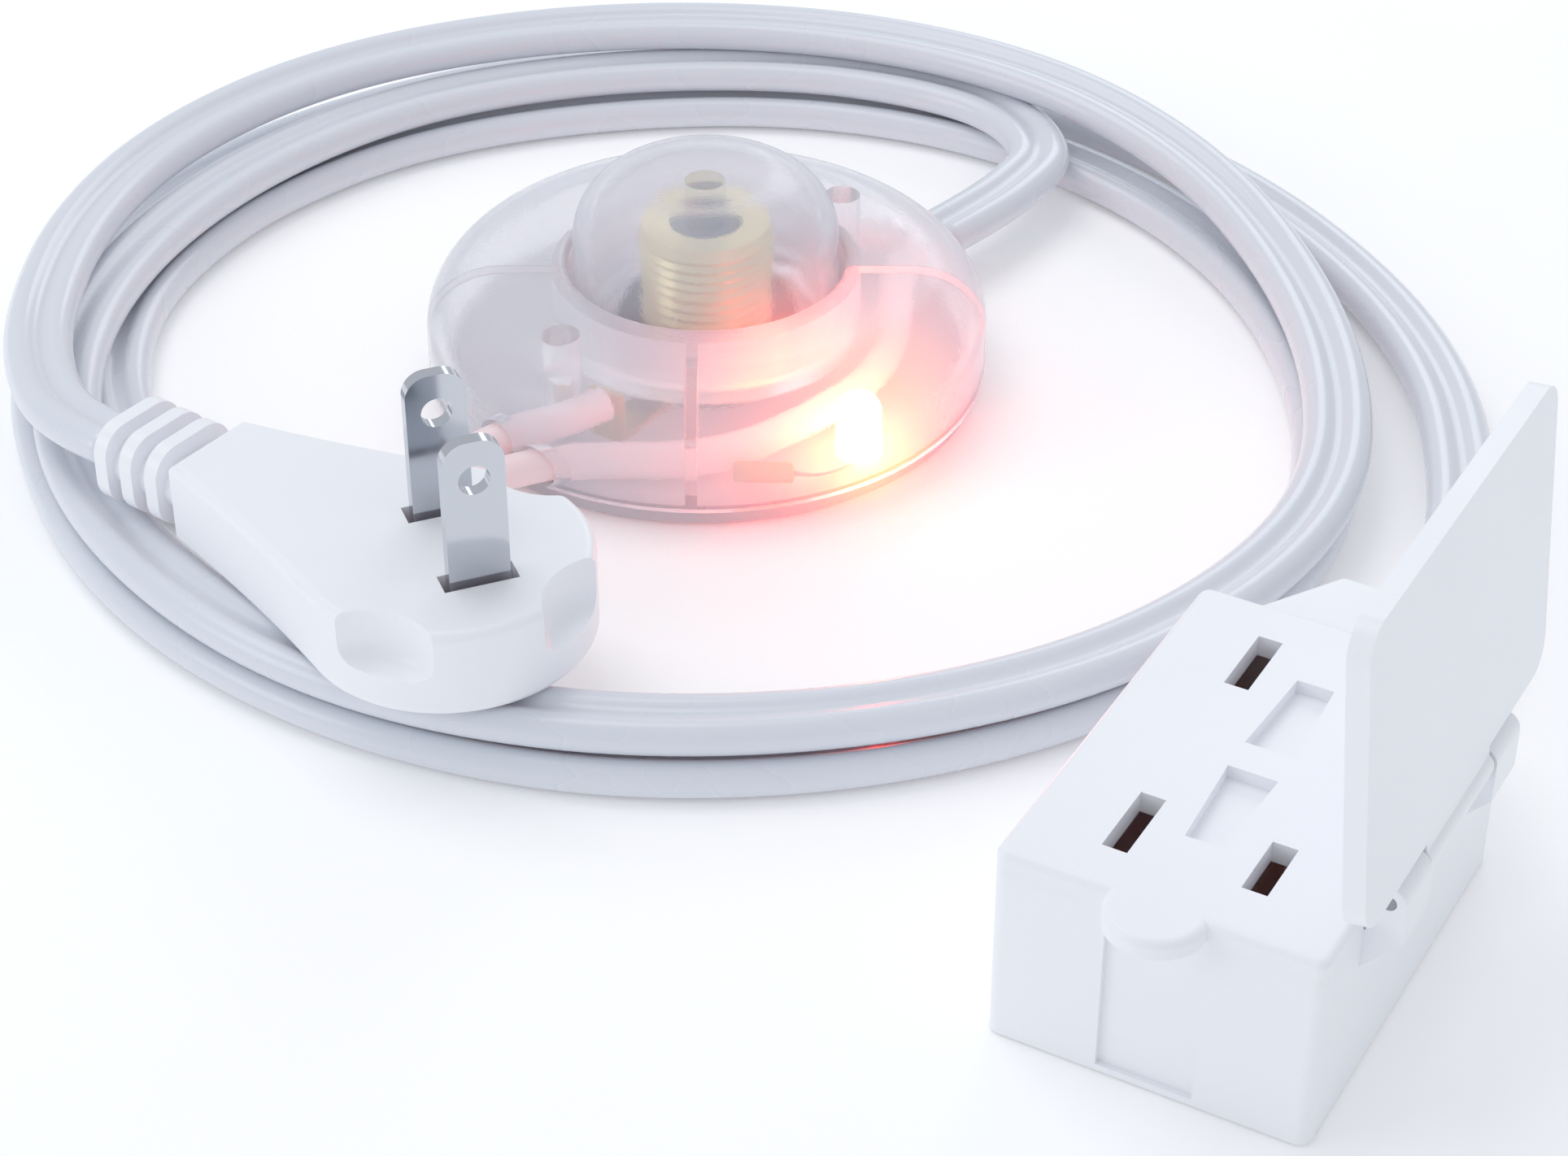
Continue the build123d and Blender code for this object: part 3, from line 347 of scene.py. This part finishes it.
def clear_plastic(name, color, milk_color, roughness, cloud, painted_scatter_glow, glow):
    """Frosted clear plastic, clouded by a diffuse share, with the light caught in it painted in as glow.

    The haze strength paints an even glow of the milk colour, standing in for the room's light
    scattered inside the plastic. glow is a list of (centre, reach, colour, strength): each adds
    its colour by nearness as painted lamp light. The frosting has 2600 grains a metre, 0.4 mm
    across, coarser than a real one so that it shows.
    """
    made, tree, output = new_material(name)
    place = add_node(tree, "ShaderNodeTexCoord").outputs["Object"]
    fine = add_node(tree, "ShaderNodeTexNoise", {"Scale": 2600.0, "Detail": 2.0}, {"Vector": place})
    bump = add_node(
        tree, "ShaderNodeBump", {"Strength": 0.25, "Distance": 0.0001}, {"Height": fine.outputs["Fac"]}
    )
    glass = add_node(
        tree, "ShaderNodeBsdfPrincipled",
        {"Base Color": srgb(color), "Roughness": roughness, "IOR": 1.25, "Transmission Weight": 1.0},
        {"Normal": bump.outputs["Normal"]},
    )
    # Painted scatter glow: the milk share emits its own colour at the haze strength.
    milk = add_node(
        tree, "ShaderNodeBsdfPrincipled",
        {"Base Color": srgb(milk_color), "Roughness": 0.4, "Emission Color": srgb(milk_color),
         "Emission Strength": painted_scatter_glow},
        {"Normal": bump.outputs["Normal"]},
    )
    body = add_node(
        tree, "ShaderNodeMixShader", {"Fac": cloud}, {1: glass.outputs["BSDF"], 2: milk.outputs["BSDF"]}
    ).outputs["Shader"]
    # Painted lamp light: each entry adds emission that fades with distance from its centre.
    for centre, reach, tint, strength in glow:
        near = nearness(tree, place, centre, reach)
        power = add_node(tree, "ShaderNodeMath", {"operation": "MULTIPLY", 1: strength}, {0: near})
        light = add_node(
            tree, "ShaderNodeEmission", {"Color": srgb(tint)}, {"Strength": power.outputs["Value"]}
        )
        body = add_node(
            tree, "ShaderNodeAddShader", {}, {0: body, 1: light.outputs["Emission"]}
        ).outputs["Shader"]
    tree.links.new(body, output.inputs["Surface"])
    return made


# Painted lamp glow in the base: red within 26 mm of the lamp, yellow within 12 mm.
base_plastic = clear_plastic("clear base styrene", "#E4DFE3", "#D8D6DC", 0.3, 0.6, 0.1, [
    (lamp, 0.026, red, 0.35), (lamp, 0.012, yellow, 0.8)])
paint("switch_base", base_plastic)

# Painted lamp glow in the cores: red within 30 mm of the lamp, yellow within 20 mm.
core_vinyl = clear_plastic("core vinyl", "#FFF2F2", "#F4E2E4", 0.4, 0.9, 0.1, [
    (lamp, 0.030, "#FF6A5A", 0.4), (lamp, 0.020, "#FFF3A0", 0.7)])
for name in ("through_conductor", "line_conductor", "load_conductor"):
    paint(name, core_vinyl)

# ---- switch works -----------------------------------------------------------------
# A black phenolic case on the base holds a stepping rotor of white nylon, whose brass
# bridge joins the line contact to the load contact. Stamped brass is bright and streaked.
paint("mechanism_case", black_phenolic)
paint("contact_rotor", plastic("white nylon", "#E6E6E2", 0.4, 0.1, 900.0))
for name in ("contact_bridge", "line_contact", "load_contact"):
    paint(name, brass)

# ---- threaded neck ----------------------------------------------------------------
# A turned brass tube on the case, in which the plunger slides. A thin tin plate makes it
# paler than the other brass.
paint("threaded_neck", metal("plated brass", "#F2E3A8", 0.35))

# ---- return spring ----------------------------------------------------------------
# Round steel wire in an open coil round the plunger, between the case and the plunger's
# collar. A pressed button shortens the real spring by its travel; this helix keeps one length.
spring_wire = 0.25 * MM
spring_turns = 6


def helix_wire(name, radius, wire, turns, bottom, top):
    """A round wire along a helix.

    The line is R (cos a, sin a) at z = bottom + (top - bottom) a / 2 pi turns. Each ring is
    the circle r (cos b, -sin b) laid on the outward and the upward direction.
    """
    a = np.linspace(0, 2 * np.pi * turns, 36 * turns + 1)
    b = np.linspace(0, 2 * np.pi, 10, endpoint=False)
    out = np.stack([np.cos(a), np.sin(a), 0 * a], 1)
    line = radius * out + np.linspace(bottom, top, len(a))[:, None] * [0, 0, 1]
    rings = (line[:, None] + wire * np.cos(b)[None, :, None] * out[:, None]
             - wire * np.sin(b)[None, :, None] * np.array([0, 0, 1]))
    return ringed_mesh(name, rings)


spring_low, spring_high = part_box("return_spring")
spring = helix_wire(
    "button_return_spring", spring_high[0] - spring_wire, spring_wire, spring_turns,
    spring_low[2] + spring_wire, spring_high[2] - spring_wire,
)
spring.data.materials.append(steel)
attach(spring, "cord_set")
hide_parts("return_spring")
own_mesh(spring)

# ---- cover and its screws ---------------------------------------------------------
# Two moulded halves of clear styrene, frosted so that they blur what is inside, meet on a
# seam. Brass screws hold them from below. The lamp's light caught in the plastic is painted
# in as glow: red, yellow and a white core round the lamp, and a yellow patch under the button.
# Painted lamp light: emission in the cover fading from the lamp and from a point under the button.
painted_glow_under_button = (0.0055, -0.0165, 0.008)
painted_cover_glow = [
    (lamp, 0.036, red, 0.3), (lamp, 0.017, yellow, 0.28), (lamp, 0.006, painted_glow_white, 0.7),
    (painted_glow_under_button, 0.008, yellow, 0.35),
]
cover_plastic = clear_plastic(
    "frosted clear styrene", "#FFFFFF", "#E9EDF5", 0.12, 0.26, 0.2, painted_cover_glow
)
for name in ("switch_cover_front", "switch_cover_rear"):
    paint(name, cover_plastic)
paint("cover_screws", brass)

# ---- push button ------------------------------------------------------------------
# A domed cap of the same clear styrene in the cover's well. Its clear plunger goes down the
# neck: bright under the dome, and painted dark in the bore as shade, where little light reaches it.
# Painted lamp light: a red glow in the button within 24 mm of the lamp.
button_plastic = clear_plastic(
    "clear button styrene", "#FFFFFF", "#DDE2EC", 0.16, 0.26, 0.22, [(lamp, 0.024, red, 0.3)]
)
paint("switch_button", button_plastic)


def plunger_plastic():
    """Clear above the neck's mouth, where the dome lights it, and painted dark brown-grey as shade in the
    bore below it.
    """
    made, tree, output = new_material("clear styrene with painted shade")
    place = add_node(tree, "ShaderNodeTexCoord").outputs["Object"]
    height = add_node(tree, "ShaderNodeSeparateXYZ", {}, {"Vector": place}).outputs["Z"]
    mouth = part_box("threaded_neck")[1][2]
    above = add_node(
        tree, "ShaderNodeMapRange", {"From Min": mouth - 0.1 * MM, "From Max": mouth}, {"Value": height}
    )
    clear = add_node(tree, "ShaderNodeBsdfTransparent", {"Color": srgb("#F4F5F8")})
    # Painted shade: a dark brown-grey surface below the neck's mouth.
    dark = add_node(
        tree, "ShaderNodeBsdfPrincipled", {"Base Color": srgb("#4A433C"), "Roughness": 0.5}
    )
    mixed = add_node(
        tree, "ShaderNodeMixShader", {},
        {0: above.outputs["Result"], 1: dark.outputs["BSDF"], 2: clear.outputs["BSDF"]},
    )
    tree.links.new(mixed.outputs["Shader"], output.inputs["Surface"])
    return made


paint("button_plunger", plunger_plastic())

# ---- floor ------------------------------------------------------------------------
# A wide matt white sweep, a little under the cord so that the two don't share a plane.
floor = smooth_mesh("floor", [(-3, -3, 0), (3, -3, 0), (3, 3, 0), (-3, 3, 0)], [(0, 1, 2, 3)])
floor.location.z = -0.0002
floor.data.materials.append(plastic("white sweep", "#FFFFFF", 0.7, 0.0, 10.0, glow=0.1))

# ---- light ------------------------------------------------------------------------
# An even pale room, three soft panels and the lamp's red light that spills onto the coil.
world = bpy.data.worlds.new("studio")
world.use_nodes = True
world.node_tree.nodes["Background"].inputs["Color"].default_value = srgb("#F6F9FF")
world.node_tree.nodes["Background"].inputs["Strength"].default_value = 0.7
scene.world = world


def soft_light(name, place, target, width, power, color):
    """A square area light at a place, turned towards a target."""
    light = bpy.data.lights.new(name, "AREA")
    light.size = width
    light.energy = power
    light.color = srgb(color)[:3]
    made = bpy.data.objects.new(name, light)
    made.location = place
    made.rotation_euler = (Vector(target) - Vector(place)).to_track_quat("-Z", "Y").to_euler()
    scene.collection.objects.link(made)


spill = bpy.data.lights.new("lamp spill", "POINT")
spill.energy = 0.006
spill.color = srgb(red)[:3]
spill.use_shadow = False
spill_source = bpy.data.objects.new("lamp spill", spill)
spill_source.location = lamp
scene.collection.objects.link(spill_source)

soft_light("top light", (-0.25, 0.2, 0.75), (0, 0, 0), 0.5, 1.3, "#FFFFFF")
soft_light("left light", (-0.7, -0.25, 0.35), (0, 0, 0), 0.35, 0.7, "#F4F8FF")
soft_light("back light", (0.2, 0.7, 0.45), (0, 0, 0), 0.35, 0.7, "#F4F8FF")

# ---- finish -----------------------------------------------------------------------
scene.view_settings.view_transform = "Standard"
scene.view_settings.look = "None"
